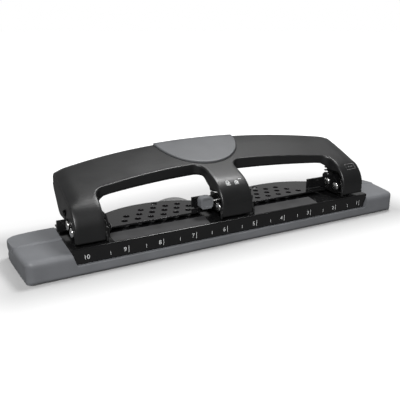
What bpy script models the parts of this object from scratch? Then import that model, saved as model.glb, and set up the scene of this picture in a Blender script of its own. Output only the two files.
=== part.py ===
"""Desktop three hole punch, modelled as the separate pieces it is assembled from.

Metres, +Z up, +X along the punch, +Y from the paper side to the back. The origin is on
the table, at the centre of the whole object's bounding box.
"""
from math import cos, pi, radians, sin

import bmesh
import bpy
from mathutils import Matrix, Vector

MM = 0.001
GAP = 0.3 * MM                      # running and seating clearance between pieces

# --- Driving dimensions --------------------------------------------------------------
HEAD_PITCH = 108.0 * MM             # US three hole spacing, 4 1/4 inch
HEADS = {"left": -HEAD_PITCH, "centre": 0.0, "right": HEAD_PITCH}
BASE_LENGTH = 315.0 * MM
BASE_DEPTH = 56.0 * MM
TOTAL_DEPTH = 78.3 * MM             # base front to the back of the handle's bar
FRONT = -TOTAL_DEPTH / 2            # the base's front face
CHANNEL_LENGTH = 249.8 * MM         # die plate, end to end
RULER_LENGTH = 243.6 * MM           # the ruler face's foot, end to end
POST_X = 146.0 * MM                 # feet and their posts, from mid length
SCREW_X = 119.9 * MM
FIXING_DEPTHS = (("front", 12.0), ("rear", 44.0))
LIP_Z = 7.5 * MM                    # top of the housing's lip under the ruler
DIE_TOP_Z = 18.5 * MM               # surface that the paper lies on
GUIDE_TOP_Z = 22.5 * MM             # top of the sheet metal above the paper
SHEET = 1.2 * MM
PUNCH_Y = FRONT + 20.5 * MM
PUNCH_RADIUS = 3.5 * MM
CROSS_PIN_Z = 28.6 * MM
FULCRUM_Y = FRONT + 10.0 * MM
FULCRUM_Z = 27.0 * MM
PIN_RADIUS = 1.5 * MM
PIN_HEAD_RADIUS = 3.25 * MM
EAR_OUT = 11.0 * MM                 # outer face of a bracket's ear, from the head's centre
WINGS = {                           # reach of each wing, from its head's centre
    ("left", -1): 19.5 * MM,
    ("centre", -1): 25.0 * MM,
    ("centre", 1): 25.0 * MM,
    ("right", -1): 27.8 * MM,
    ("right", 1): 19.5 * MM,
}
LEG_OUT = 13.1 * MM                 # outer face of a leg's wall, from the head's centre
OUTER_LEG_IN = 7.6 * MM             # inner face of an outer leg, from the head's centre
HANDLE_WALL = 1.7 * MM
HANDLE_HALF = HEAD_PITCH + LEG_OUT
RIDGE_DEPTH = 73.0 * MM             # handle's ridge at mid length, from the base's front
RIDGE_BOW = 19.5 * MM               # how far the ridge comes forward at the ends
RIDGE_Z = 64.0 * MM
RIDGE_DROP = 6.0 * MM
SHOULDER = 1.4 * MM                 # extra fall of the handle's top at its very ends
INSERT_RADIUS = 35.5 * MM
INSERT_X = -2.7 * MM
SPRING_Y = FRONT + 33.0 * MM
LEVER_WEB_Z = 43.0 * MM
RIVET_Y = FRONT + 42.0 * MM
RIVET_X = 6.0 * MM                  # rivets either side of a head's centre
HOLE_PITCH = 10.0 * MM              # perforations along a row of the guide plates
ROW_PITCH = 8.0 * MM
ROW_SHIFT = 4.2 * MM                # each row of perforations starts this much further along

# --- Colours: (red, green, blue), roughness, metallic ----------------------------------
GREY_PLASTIC = ((0.16, 0.165, 0.175), 0.55, 0.0)
BLACK_PLASTIC = ((0.02, 0.02, 0.021), 0.42, 0.0)
BLUE_GREY_PLASTIC = ((0.21, 0.225, 0.25), 0.5, 0.0)
TRAY_PLASTIC = ((0.05, 0.05, 0.053), 0.6, 0.0)
RUBBER = ((0.015, 0.015, 0.015), 0.85, 0.0)
BLACK_STEEL = ((0.018, 0.018, 0.018), 0.3, 0.35)
PLATED_STEEL = ((0.62, 0.62, 0.62), 0.25, 1.0)
TOOL_STEEL = ((0.42, 0.42, 0.42), 0.3, 1.0)
SPRING_STEEL = ((0.45, 0.45, 0.44), 0.35, 1.0)


# --- Helpers ---------------------------------------------------------------------------
def at_y(depth_mm):
    """World Y of a point that lies depth_mm behind the base's front face."""
    return FRONT + depth_mm * MM


def clear_scene():
    for obj in list(bpy.data.objects):
        bpy.data.objects.remove(obj, do_unlink=True)


def material(name, look):
    colour, roughness, metallic = look
    mat = bpy.data.materials.new(name)
    mat.use_nodes = True
    shader = mat.node_tree.nodes["Principled BSDF"]
    shader.inputs["Base Color"].default_value = (*colour, 1.0)
    shader.inputs["Roughness"].default_value = roughness
    shader.inputs["Metallic"].default_value = metallic
    return mat


def make_object(name, bm, look, origin=(0, 0, 0), smooth_deg=30):
    """A mesh object from a bmesh in world space, with its origin moved to a useful point."""
    bmesh.ops.translate(bm, verts=bm.verts, vec=-Vector(origin))
    bmesh.ops.recalc_face_normals(bm, faces=bm.faces)
    mesh = bpy.data.meshes.new(name)
    bm.to_mesh(mesh)
    bm.free()
    mesh.shade_smooth()
    mesh.set_sharp_from_angle(angle=radians(smooth_deg))
    obj = bpy.data.objects.new(name, mesh)
    obj.location = origin
    bpy.context.scene.collection.objects.link(obj)
    if look is not None:
        mesh.materials.append(material(name, look))
    return obj


def prism(bm, outline, axis, low, high):
    """Extrude a closed 2-D outline along an axis. The outline holds (Y, Z) pairs for an
    X prism, (X, Z) pairs for a Y prism and (X, Y) pairs for a Z prism."""
    place = {
        "X": lambda a, b, s: (s, a, b),
        "Y": lambda a, b, s: (a, s, b),
        "Z": lambda a, b, s: (a, b, s),
    }[axis]
    start = [bm.verts.new(place(a, b, low)) for a, b in outline]
    end = [bm.verts.new(place(a, b, high)) for a, b in outline]
    bm.faces.new(start)
    bm.faces.new(reversed(end))
    for i in range(len(outline)):
        j = (i + 1) % len(outline)
        bm.faces.new((start[j], start[i], end[i], end[j]))
    bmesh.ops.recalc_face_normals(bm, faces=bm.faces)
    return bm


def cutter(bm):
    """A Boolean operand: it is drawn as a wire and isn't part of the object."""
    obj = make_object("cutter", bm, None)
    obj.display_type = "WIRE"
    obj.hide_render = True
    return obj


def combine(obj, bm, operation):
    """Apply a Boolean of one bmesh to an object, and remove the operand."""
    other = cutter(bm)
    mod = obj.modifiers.new(operation.lower(), "BOOLEAN")
    mod.operation = operation
    mod.object = other
    mod.solver = "EXACT"
    depsgraph = bpy.context.evaluated_depsgraph_get()
    result = bpy.data.meshes.new_from_object(obj.evaluated_get(depsgraph))
    obj.modifiers.clear()
    old = obj.data
    obj.data = result
    bpy.data.meshes.remove(old)
    bpy.data.objects.remove(other, do_unlink=True)
    result.shade_smooth()
    result.set_sharp_from_angle(angle=radians(30))
    return obj


def cut(obj, bm):
    return combine(obj, bm, "DIFFERENCE")


def join(obj, bm):
    return combine(obj, bm, "UNION")


def box(low, high):
    bm = bmesh.new()
    outline = [(low[0], low[1]), (high[0], low[1]), (high[0], high[1]), (low[0], high[1])]
    return prism(bm, outline, "Z", low[2], high[2])


def arc(centre, radius, start_deg, end_deg, steps):
    """Points of an arc in a plane, both ends included."""
    points = []
    for i in range(steps + 1):
        angle = radians(start_deg + (end_deg - start_deg) * i / steps)
        points.append((centre[0] + radius * cos(angle), centre[1] + radius * sin(angle)))
    return points


def circle(centre, radius, sides):
    return arc(centre, radius, 0, 360 * (sides - 1) / sides, sides - 1)


def turned(profile, sides, axis, centre):
    """A solid of revolution. profile holds (radius, distance along the axis) pairs and
    starts and ends on the axis, which runs through centre."""
    bm = bmesh.new()
    along = {"X": Matrix.Rotation(pi / 2, 4, "Y"), "Z": Matrix.Identity(4)}[axis]
    rings = []
    for radius, distance in profile:
        if radius == 0:
            rings.append([bm.verts.new((0, 0, distance))])
        else:
            points = circle((0, 0), radius, sides)
            rings.append([bm.verts.new((a, b, distance)) for a, b in points])
    for lower, upper in zip(rings, rings[1:]):
        for i in range(sides):
            j = (i + 1) % sides
            corners = [lower[i % len(lower)], lower[j % len(lower)], upper[j % len(upper)],
                       upper[i % len(upper)]]
            bm.faces.new(dict.fromkeys(corners))
    bmesh.ops.transform(bm, verts=bm.verts, matrix=Matrix.Translation(centre) @ along)
    bmesh.ops.recalc_face_normals(bm, faces=bm.faces)
    return bm


def ring(outer, inner, low, high, sides, axis, centre):
    """A washer or bush: a turned rectangle off its axis."""
    bm = bmesh.new()
    along = {"X": Matrix.Rotation(pi / 2, 4, "Y"), "Z": Matrix.Identity(4)}[axis]
    corners = [(outer, low), (outer, high), (inner, high), (inner, low)]
    loops = [[bm.verts.new((a, b, z)) for a, b in circle((0, 0), r, sides)] for r, z in corners]
    for k in range(4):
        first, second = loops[k], loops[(k + 1) % 4]
        for i in range(sides):
            j = (i + 1) % sides
            bm.faces.new((first[i], first[j], second[j], second[i]))
    bmesh.ops.transform(bm, verts=bm.verts, matrix=Matrix.Translation(centre) @ along)
    bmesh.ops.recalc_face_normals(bm, faces=bm.faces)
    return bm


def loft(sections):
    """Skin a list of (x, [(y, z), ...]) sections that all have the same number of points."""
    bm = bmesh.new()
    rings = [[bm.verts.new((x, y, z)) for y, z in outline] for x, outline in sections]
    count = len(rings[0])
    for first, second in zip(rings, rings[1:]):
        for i in range(count):
            j = (i + 1) % count
            bm.faces.new((first[i], first[j], second[j], second[i]))
    bm.faces.new(rings[0])
    bm.faces.new(reversed(rings[-1]))
    bmesh.ops.recalc_face_normals(bm, faces=bm.faces)
    return bm


def rounded_rectangle(x_half, y_low, y_high, radius, steps=5):
    outline = arc((x_half - radius, y_low + radius), radius, -90, 0, steps)
    outline += arc((x_half - radius, y_high - radius), radius, 0, 90, steps)
    outline += arc((-x_half + radius, y_high - radius), radius, 90, 180, steps)
    outline += arc((-x_half + radius, y_low + radius), radius, 180, 270, steps)
    return outline


# --- Base ------------------------------------------------------------------------------
def base_end_outline():
    """Side profile of the housing's end caps: a front shoulder, a crease, a raised back."""
    points = [(0.8, 0.8), (0.0, 2.0), (0.3, 10.0), (1.2, 13.6), (3.6, 15.7), (8.0, 16.4),
              (24.0, 17.2), (26.5, 17.0), (28.5, 18.3), (47.5, 18.8), (52.0, 17.4),
              (55.0, 14.0), (56.0, 9.0), (56.0, 2.0), (55.2, 0.8)]
    return [(at_y(y), z * MM) for y, z in points]


def cap_slope(side):
    """What lies above the raised back of an end cap, which falls away outwards."""
    top = 30 * MM
    sections = []
    for x, front_z, back_z in ((125.0, 19.0, 19.0), (160.0, 17.0, 13.6)):
        outline = [(at_y(27.5), front_z * MM), (at_y(58), back_z * MM), (at_y(58), top),
                   (at_y(27.5), top)]
        sections.append((side * x * MM, outline))
    return loft(sections)


def channel_room():
    """Front view of the space that the sheet metal lies in; it widens upwards."""
    foot, plate, top = RULER_LENGTH / 2 + 0.1 * MM, CHANNEL_LENGTH / 2 + 0.1 * MM, 30 * MM
    right = [(foot, LIP_Z), (plate, DIE_TOP_Z), (plate, top)]
    return right + [(-x, z) for x, z in reversed(right)]


def base_plan():
    """Plan of the base: its ends bow outwards towards the back."""
    half = BASE_LENGTH / 2
    front_inset = 3.6 * MM
    bow_y = at_y(42)
    right = arc((half - front_inset - 5 * MM, at_y(5)), 5 * MM, -90, -10, 4)
    for i in range(1, 6):
        y = at_y(5) + (bow_y - at_y(5)) * i / 6
        t = (bow_y - y) / (bow_y - at_y(5))
        right.append((half - front_inset * t ** 1.8, y))
    right += arc((half - 14 * MM, bow_y), 14 * MM, 0, 90, 7)
    return right + [(-x, y) for x, y in reversed(right)]


def base_housing():
    half = BASE_LENGTH / 2
    obj = make_object("base_housing", prism(bmesh.new(), base_end_outline(), "X", -half, half),
                      GREY_PLASTIC)
    combine(obj, prism(bmesh.new(), base_plan(), "Z", -5 * MM, 30 * MM), "INTERSECT")
    middle = CHANNEL_LENGTH / 2 + 0.1 * MM
    cut(obj, prism(bmesh.new(), channel_room(), "Y", at_y(-2), at_y(48.6)))
    cut(obj, box((-middle, at_y(48), 15 * MM), (middle, at_y(60), 30 * MM)))
    cut(obj, box((-118 * MM, at_y(5), -5 * MM), (118 * MM, at_y(50), 9 * MM)))
    cut(obj, box((-116 * MM, at_y(49), -5 * MM), (116 * MM, at_y(60), 11.5 * MM)))
    for side in (-1, 1):
        x_near, x_far = sorted((side * 126.8 * MM, side * 153 * MM))
        cut(obj, box((x_near, at_y(3), -5 * MM), (x_far, at_y(52.5), 12.4 * MM)))
        x_near, x_far = sorted((side * 126.8 * MM, side * 139 * MM))
        cut(obj, box((x_near, at_y(30), 12 * MM), (x_far, at_y(47), 15.4 * MM)))
        for row, depth in FIXING_DEPTHS:
            post = circle((side * POST_X, at_y(depth)), 5.6 * MM, 16)
            join(obj, prism(bmesh.new(), post, "Z", 2.9 * MM, 13.5 * MM))
            screw_hole = circle((side * SCREW_X, at_y(depth)), 1.8 * MM, 10)
            cut(obj, prism(bmesh.new(), screw_hole, "Z", -1 * MM, 12 * MM))
        cut(obj, cap_slope(side))
    return obj


def base_feet():
    for side, x in (("left", -POST_X), ("right", POST_X)):
        for row, depth in FIXING_DEPTHS:
            profile = [(0, 0), (4.6 * MM, 0), (5.0 * MM, 0.5 * MM), (5.0 * MM, 2.6 * MM),
                       (0, 2.6 * MM)]
            make_object(f"foot_{side}_{row}", turned(profile, 16, "Z", (x, at_y(depth), 0)),
                        RUBBER, (x, at_y(depth), 0))


def base_screws():
    for side, x in (("left", -SCREW_X), ("right", SCREW_X)):
        for row, depth in FIXING_DEPTHS:
            profile = [(0, 1.2 * MM), (1.5 * MM, 1.2 * MM), (1.5 * MM, 7.0 * MM), (0, 7.0 * MM)]
            make_object(f"base_screw_{side}_{row}",
                        turned(profile, 10, "Z", (x, at_y(depth), 0)), PLATED_STEEL,
                        (x, at_y(depth), 1.2 * MM))


def base_channel():
    """One bent sheet: ruler flange, die plate, riser that stops the paper, rear shelf."""
    flange_y = 2.2
    plate = DIE_TOP_Z / MM
    outer = [(flange_y, 7.8), (flange_y, 17.4), (2.5, 18.2), (3.3, plate), (33.2, plate),
             (33.2, 21.0), (46.0, 21.0)]
    inner = [(46.0, 19.8), (34.4, 19.8), (34.4, 17.3), (3.9, 17.3), (3.4, 16.9), (3.4, 7.8)]
    outline = [(at_y(y), z * MM) for y, z in outer + inner]
    half = CHANNEL_LENGTH / 2 - 0.2 * MM
    obj = make_object("base_channel", prism(bmesh.new(), outline, "X", -half, half), BLACK_STEEL)
    for x in HEADS.values():
        cut(obj, prism(bmesh.new(), circle((x, PUNCH_Y), 6.3 * MM, 20), "Z", 15 * MM, 19 * MM))
        for dx in (-RIVET_X, RIVET_X):
            cut(obj, prism(bmesh.new(), circle((x + dx, RIVET_Y), 1.8 * MM, 10), "Z",
                           15 * MM, 25 * MM))
    for side in (-1, 1):
        x_near, x_far = sorted((side * 117.5 * MM, side * 122.4 * MM))
        cut(obj, box((x_near, at_y(33.9), 15 * MM), (x_far, at_y(60), 25 * MM)))
        corner = [(RULER_LENGTH / 2 - 0.2 * MM, LIP_Z), (half + 5 * MM, LIP_Z),
                  (half + 5 * MM, DIE_TOP_Z), (half, DIE_TOP_Z)]
        corner = [(side * x, z) for x, z in corner]
        cut(obj, prism(bmesh.new(), corner, "Y", at_y(-2), at_y(60)))
    return obj


def guide_outline(x_low, x_high):
    """Plan of a guide plate: a straight paper edge and a convex back."""
    mid = (x_low + x_high) / 2
    half = (x_high - x_low) / 2
    back = []
    steps = 14
    for i in range(steps + 1):
        t = -1 + 2 * i / steps
        bulge = 43.5 + 12.0 * (1 - abs(t) ** 2.2)
        back.append((mid - half * t, at_y(bulge)))
    return [(x_low, at_y(19.5)), (x_high, at_y(19.5))] + back


def guide_plates():
    for name, x_low, x_high in (("guide_plate_left", -94.6 * MM, -16.8 * MM),
                                ("guide_plate_right", 14.2 * MM, 94.6 * MM)):
        bm = prism(bmesh.new(), guide_outline(x_low, x_high), "Z", GUIDE_TOP_Z - SHEET, GUIDE_TOP_Z)
        obj = make_object(name, bm, BLACK_STEEL)
        for hole in perforations(name):
            cut(obj, hole)


def perforations(name):
    """Staggered rows of round holes that thin out towards the back. Each row is given as
    the number of pitches that it skips at its left end, and its count of holes."""
    first_x, rows = {
        "guide_plate_left": (-80.2 * MM, ((0, 6), (0, 6), (1, 4), (2, 1))),
        "guide_plate_right": (21.5 * MM, ((0, 6), (0, 5), (0, 4), (0, 2))),
    }[name]
    for row, (skipped, count) in enumerate(rows):
        y = at_y(26.2) + row * ROW_PITCH
        for i in range(skipped, skipped + count):
            x = first_x + row * ROW_SHIFT + i * HOLE_PITCH
            yield prism(bmesh.new(), circle((x, y), 2.3 * MM, 10), "Z", 15 * MM, 30 * MM)


def chip_tray():
    obj = make_object("chip_tray", box((-115 * MM, at_y(6), 1.2 * MM),
                                       (115 * MM, at_y(55.6), 8.4 * MM)), TRAY_PLASTIC)
    cut(obj, box((-113.4 * MM, at_y(7.6), 2.8 * MM), (113.4 * MM, at_y(48), 12 * MM)))
    pull_x, pull_half, pull_back = -31 * MM, 18 * MM, at_y(58.4)
    join(obj, box((pull_x - pull_half, at_y(55), 2 * MM), (pull_x + pull_half, pull_back, 8 * MM)))
    tab = [(pull_x - pull_half, 3 * MM), (pull_x + pull_half, 3 * MM)]
    tab += arc((pull_x, -7.4 * MM), 30 * MM, 53.2, 126.8, 10)
    join(obj, prism(bmesh.new(), tab, "Y", at_y(56.4), pull_back))
    return obj


# --- Punch heads ------------------------------------------------------------------------
def bracket(side, x):
    """Bent sheet bracket: a foot above the paper, two ears and the wings behind them."""
    inner = EAR_OUT - SHEET
    foot = box((x - EAR_OUT, at_y(8.8), GUIDE_TOP_Z - SHEET), (x + EAR_OUT, at_y(46), GUIDE_TOP_Z))
    obj = make_object(f"bracket_{side}", foot, BLACK_STEEL)
    ear = [(at_y(8.0), GUIDE_TOP_Z - SHEET), (at_y(27.2), GUIDE_TOP_Z - SHEET),
           (at_y(27.2), 33.4 * MM), (at_y(25.6), 34.4 * MM), (at_y(13.5), 34.4 * MM)]
    ear += arc((FULCRUM_Y, FULCRUM_Z), 3 * MM, 125, 180, 5)
    for sign in (-1, 1):
        ear_low, ear_high = sorted((x + sign * inner, x + sign * EAR_OUT))
        join(obj, prism(bmesh.new(), ear, "X", ear_low, ear_high))
        if (side, sign) not in WINGS:
            continue
        wing_low, wing_high = sorted((x + sign * inner, x + sign * WINGS[side, sign]))
        wing = [(wing_low, GUIDE_TOP_Z + GAP), (wing_high, GUIDE_TOP_Z + GAP),
                (wing_high, 31.5 * MM), (wing_low, 31.5 * MM)]
        join(obj, prism(bmesh.new(), wing, "Y", at_y(26), at_y(27.2)))
    cut(obj, prism(bmesh.new(), circle((x, PUNCH_Y), PUNCH_RADIUS + GAP, 20), "Z",
                   15 * MM, 24 * MM))
    for dx in (-RIVET_X, RIVET_X):
        cut(obj, prism(bmesh.new(), circle((x + dx, RIVET_Y), 1.8 * MM, 10), "Z",
                       15 * MM, 25 * MM))
    if side == "centre":
        cut(obj, box((x - 26 * MM, at_y(25), 26.9 * MM), (x - 18.6 * MM, at_y(28), 30.3 * MM)))
    reach = (x - 15 * MM, x + 15 * MM)
    hole = circle((FULCRUM_Y, FULCRUM_Z), PIN_RADIUS + GAP, 12)
    cut(obj, prism(bmesh.new(), hole, "X", *reach))
    slot_radius = PIN_RADIUS + GAP
    slot = arc((PUNCH_Y, CROSS_PIN_Z + 0.2 * MM), slot_radius, 0, 180, 6)
    slot += arc((PUNCH_Y, CROSS_PIN_Z - 3.6 * MM), slot_radius, 180, 360, 6)
    cut(obj, prism(bmesh.new(), slot, "X", *reach))
    return obj


def die(side, x):
    bm = ring(6.0 * MM, PUNCH_RADIUS + 0.05 * MM, 14.8 * MM, DIE_TOP_Z, 20, "Z", (x, PUNCH_Y, 0))
    return make_object(f"die_{side}", bm, TOOL_STEEL, (x, PUNCH_Y, DIE_TOP_Z))


def punch(side, x):
    """The pin that cuts the hole, cross-drilled for the pin that drives it."""
    profile = [(0, 22.3 * MM), (PUNCH_RADIUS, 21.5 * MM), (PUNCH_RADIUS, 32.4 * MM),
               (PUNCH_RADIUS - 0.6 * MM, 33.0 * MM), (0, 33.0 * MM)]
    obj = make_object(f"punch_{side}", turned(profile, 20, "Z", (x, PUNCH_Y, 0)), TOOL_STEEL)
    drill = circle((PUNCH_Y, CROSS_PIN_Z), PIN_RADIUS + GAP / 2, 12)
    cut(obj, prism(bmesh.new(), drill, "X", x - 6 * MM, x + 6 * MM))
    return obj


def head_seat(x):
    """Where a pin's head bears: on the leg's wall, or on the ear where that is outermost."""
    return (EAR_OUT if x > HEAD_PITCH / 2 else LEG_OUT) + GAP


def headed_pin(name, x, y, z):
    """A plated pin across both ears, domed at one end and grooved for a clip at the other."""
    head = head_seat(x)
    groove = EAR_OUT + GAP
    tip = EAR_OUT + 1.7 * MM
    profile = [(0, -head - 1.6 * MM), (1.6 * MM, -head - 1.45 * MM),
               (2.7 * MM, -head - 1.0 * MM), (PIN_HEAD_RADIUS, -head - 0.4 * MM),
               (PIN_HEAD_RADIUS, -head), (PIN_RADIUS, -head), (PIN_RADIUS, groove),
               (PIN_RADIUS - 0.35 * MM, groove), (PIN_RADIUS - 0.35 * MM, groove + 1.0 * MM),
               (PIN_RADIUS, groove + 1.0 * MM), (PIN_RADIUS, tip), (0, tip)]
    return make_object(name, turned(profile, 14, "X", (x, y, z)), PLATED_STEEL, (x, y, z))


def pin_clip(name, x, y, z):
    low = EAR_OUT + GAP + 0.2 * MM
    bm = ring(2.6 * MM, PIN_RADIUS - 0.2 * MM, low, low + 0.6 * MM, 12, "X", (x, y, z))
    return make_object(name, bm, BLACK_STEEL, (x, y, z))


def lever(side, x):
    """Steel lever inside a leg: two cheeks that hold both pins, and a web for the spring."""
    cheek = arc((FULCRUM_Y, FULCRUM_Z), 3.2 * MM, 120, 270, 6)
    cheek += arc((PUNCH_Y, CROSS_PIN_Z + 0.5 * MM), 2.9 * MM, 270, 340, 4)
    cheek += [(at_y(30), 38.5 * MM), (at_y(38.5), 41.8 * MM), (at_y(38.5), 46.6 * MM),
              (at_y(24), 43.4 * MM), (at_y(15), 39.0 * MM)]
    low, high = 4.2 * MM, 5.4 * MM
    obj = make_object(f"lever_{side}", prism(bmesh.new(), cheek, "X", x - high, x - low),
                      BLACK_STEEL, (x, FULCRUM_Y, FULCRUM_Z))
    cheek_two = prism(bmesh.new(), cheek, "X", x + low, x + high)
    web = box((x - high, at_y(28.6), LEVER_WEB_Z), (x + high, at_y(38.5), LEVER_WEB_Z + SHEET))
    join(obj, web)
    join(obj, cheek_two)
    reach = (x - 8 * MM, x + 8 * MM)
    for y, z, clearance in ((FULCRUM_Y, FULCRUM_Z, 0.1), (PUNCH_Y, CROSS_PIN_Z, 0.25)):
        hole = circle((y, z), PIN_RADIUS + clearance * MM, 14)
        cut(obj, prism(bmesh.new(), hole, "X", *reach))
    return obj


def return_spring(side, x):
    """Compression spring from the bracket's foot up to the lever's web."""
    wire, radius, turns, per_turn, sides = 0.5 * MM, 3.0 * MM, 6, 10, 5
    low = GUIDE_TOP_Z + GAP + wire
    high = LEVER_WEB_Z - GAP - wire
    bm = bmesh.new()
    rings = []
    total = turns * per_turn
    for i in range(total + 1):
        angle = 2 * pi * i / per_turn
        t = i / total
        centre = Vector((x + radius * cos(angle), SPRING_Y + radius * sin(angle),
                         low + (high - low) * t))
        out = Vector((cos(angle), sin(angle), 0))
        loop = []
        for a, b in circle((0, 0), wire, sides):
            loop.append(bm.verts.new(centre + out * a + Vector((0, 0, b))))
        rings.append(loop)
    for first, second in zip(rings, rings[1:]):
        for i in range(sides):
            j = (i + 1) % sides
            bm.faces.new((first[i], first[j], second[j], second[i]))
    bm.faces.new(rings[0])
    bm.faces.new(reversed(rings[-1]))
    return make_object(f"return_spring_{side}", bm, SPRING_STEEL, (x, SPRING_Y, low - wire))


def bracket_rivet(side, number, x):
    profile = [(0, 18.2 * MM), (2.4 * MM, 18.2 * MM), (2.6 * MM, 19.5 * MM), (1.5 * MM, 19.5 * MM),
               (1.5 * MM, 22.8 * MM), (2.8 * MM, 22.8 * MM), (2.2 * MM, 23.8 * MM),
               (0, 24.0 * MM)]
    return make_object(f"bracket_rivet_{side}_{number}", turned(profile, 12, "Z", (x, RIVET_Y, 0)),
                       PLATED_STEEL, (x, RIVET_Y, GUIDE_TOP_Z))


def punch_head(side, x):
    bracket(side, x)
    die(side, x)
    punch(side, x)
    headed_pin(f"cross_pin_{side}", x, PUNCH_Y, CROSS_PIN_Z)
    pin_clip(f"cross_pin_clip_{side}", x, PUNCH_Y, CROSS_PIN_Z)
    headed_pin(f"fulcrum_pin_{side}", x, FULCRUM_Y, FULCRUM_Z)
    pin_clip(f"fulcrum_clip_{side}", x, FULCRUM_Y, FULCRUM_Z)
    lever(side, x)
    return_spring(side, x)
    for number, dx in ((1, -RIVET_X), (2, RIVET_X)):
        bracket_rivet(side, number, x + dx)


# --- Handle -----------------------------------------------------------------------------
def ridge(x):
    """Y and Z of the handle's ridge: bowed backwards and arched towards mid length."""
    t = abs(x) / (117 * MM)
    return FRONT + RIDGE_DEPTH - RIDGE_BOW * t ** 2, RIDGE_Z - RIDGE_DROP * t ** 2.2 - end_fall(x)


def end_fall(x):
    """How much the handle's top is lower near its ends, where its corner is rounded."""
    return SHOULDER * (max(0.0, abs(x) - 112 * MM) / (9 * MM)) ** 2


def roof(x, lift):
    """The handle's outer skin from the skirt's foot to the back wall, moved out by lift."""
    ridge_y, ridge_z = ridge(x)
    knee_y, knee_z = at_y(20), 46.3 * MM - end_fall(x)
    points = [(at_y(4.2) - lift, 20.4 * MM), (at_y(4.6) - lift, 29 * MM),
              (at_y(6.4) - 0.9 * lift, 34.5 * MM + 0.3 * lift),
              (at_y(9.5) - 0.75 * lift, 39 * MM + 0.7 * lift),
              (at_y(14) - 0.55 * lift, 43 * MM + 0.85 * lift),
              (knee_y - 0.4 * lift, knee_z + 0.92 * lift)]
    for t, crown in ((0.3, 0.5), (0.6, 0.7), (0.85, 0.6)):
        y = knee_y + (ridge_y - knee_y) * t
        z = knee_z + (ridge_z - knee_z) * t + crown * MM
        points.append((y - 0.3 * lift, z + 0.95 * lift))
    points += [(ridge_y, ridge_z + lift),
               (ridge_y + 3 * MM + 0.6 * lift, ridge_z - 1.7 * MM + 0.7 * lift),
               (ridge_y + 4.9 * MM + lift, ridge_z - 5 * MM),
               (ridge_y + 5.3 * MM + lift, ridge_z - 10.5 * MM)]
    return points


def stations(half, count):
    return [half * (2 * i / count - 1) for i in range(count + 1)]


def handle_section(x):
    end_wall = [(51.0, 37.0), (46.5, 31.2), (43.0, 28.8), (36.0, 29.2), (28.6, 29.4), (28.6, 36.6),
                (24.8, 37.9), (23.4, 36.5), (24.9, 32.6), (24.4, 31.8), (12.0, 30.6),
                (8.2, 29.4), (6.4, 26.5), (6.4, 20.4)]
    return roof(x, 0.0) + [(at_y(y), z * MM) for y, z in end_wall]


def window_outline(sign, grow):
    """Plan of a finger window: open at the front, bowed at the back, round in the corners."""
    near = (LEG_OUT - grow) * sign
    far = (HEAD_PITCH - OUTER_LEG_IN + grow) * sign
    corner = 9 * MM
    inside = abs(near) + corner
    outside = abs(far) - corner

    def edge_y(x):
        return at_y(39.2) - 12.0 * MM * (x / (95 * MM)) ** 2 + grow

    steps = 10
    points = [(near, at_y(-10))]
    for a, b in arc((inside, edge_y(inside) - corner), corner, 180, 95, 6):
        points.append((a * sign, b))
    for i in range(1, steps):
        x = inside + (outside - inside) * i / steps
        points.append((x * sign, edge_y(x)))
    for a, b in arc((outside, edge_y(outside) - corner), corner, 80, 0, 6):
        points.append((a * sign, b))
    points.append((far, at_y(-10)))
    return points


def under_outline():
    """Side view of what is cut from below: skirt and side walls stay, the bar is a shell."""
    points = [(6.4, 5.0), (6.4, 30.0), (8.4, 33.6), (12.2, 37.2), (24.4, 34.3), (23.4, 36.5),
              (24.8, 37.9), (29.0, 40.2), (34.5, 44.6), (90.0, 53.5), (90.0, 5.0)]
    return [(at_y(y), z * MM) for y, z in points]


def rim_outline():
    """Side view of what is cut from below between the legs, to leave an even rim."""
    points = [(16.0, 5.0), (16.0, 41.3), (34.4, 44.3), (34.4, 5.0)]
    return [(at_y(y), z * MM) for y, z in points]


def handle_cavity():
    """What is hollow inside the handle: the bar and the three legs, open downwards."""
    half = HANDLE_HALF - HANDLE_WALL
    sections = []
    for x in stations(half, 20):
        skin = roof(x, -2.0 * MM)
        skin[0] = (skin[0][0], 5 * MM)
        skin.append((skin[-1][0], 5 * MM))
        sections.append((x, skin))
    obj = make_object("cavity", loft(sections), None)
    for sign in (-1, 1):
        cut(obj, prism(bmesh.new(), window_outline(sign, HANDLE_WALL), "Z", 0, 80 * MM))
    bm = bmesh.new()
    bm.from_mesh(obj.data)
    bpy.data.objects.remove(obj, do_unlink=True)
    return bm


def handle_shell():
    sections = [(x, handle_section(x)) for x in stations(HANDLE_HALF, 24)]
    obj = make_object("handle_shell", loft(sections), BLACK_PLASTIC)
    for sign in (-1, 1):
        cut(obj, prism(bmesh.new(), window_outline(sign, 0.0), "Z", 0, 80 * MM))
    inner = HANDLE_HALF - HANDLE_WALL
    cut(obj, prism(bmesh.new(), under_outline(), "X", -inner, inner))
    cut(obj, handle_cavity())
    for sign in (-1, 1):
        rim_low, rim_high = sorted((sign * 15 * MM, sign * 98 * MM))
        cut(obj, prism(bmesh.new(), rim_outline(), "X", rim_low, rim_high))
    return obj


def handle_insert():
    """Half-round inlay on top of the bar, proud of the skin by about a millimetre."""
    def skin(lift, depth):
        """The bar as a solid down to a level that is depth above the table."""
        sections = []
        for x in stations(42 * MM, 12):
            outline = roof(x, lift)
            sections.append((x, outline + [(outline[-1][0], depth), (outline[0][0], depth)]))
        return loft(sections)

    obj = make_object("handle_insert", skin(1.4 * MM, 10 * MM), BLUE_GREY_PLASTIC)
    plan = arc((INSERT_X, at_y(73.0)), INSERT_RADIUS, 180, 360, 24)
    plan += [(INSERT_X + INSERT_RADIUS, at_y(74.5)), (INSERT_X - INSERT_RADIUS, at_y(74.5))]
    combine(obj, prism(bmesh.new(), plan, "Z", 40 * MM, 80 * MM), "INTERSECT")
    cut(obj, skin(GAP, 5 * MM))
    return obj


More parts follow.
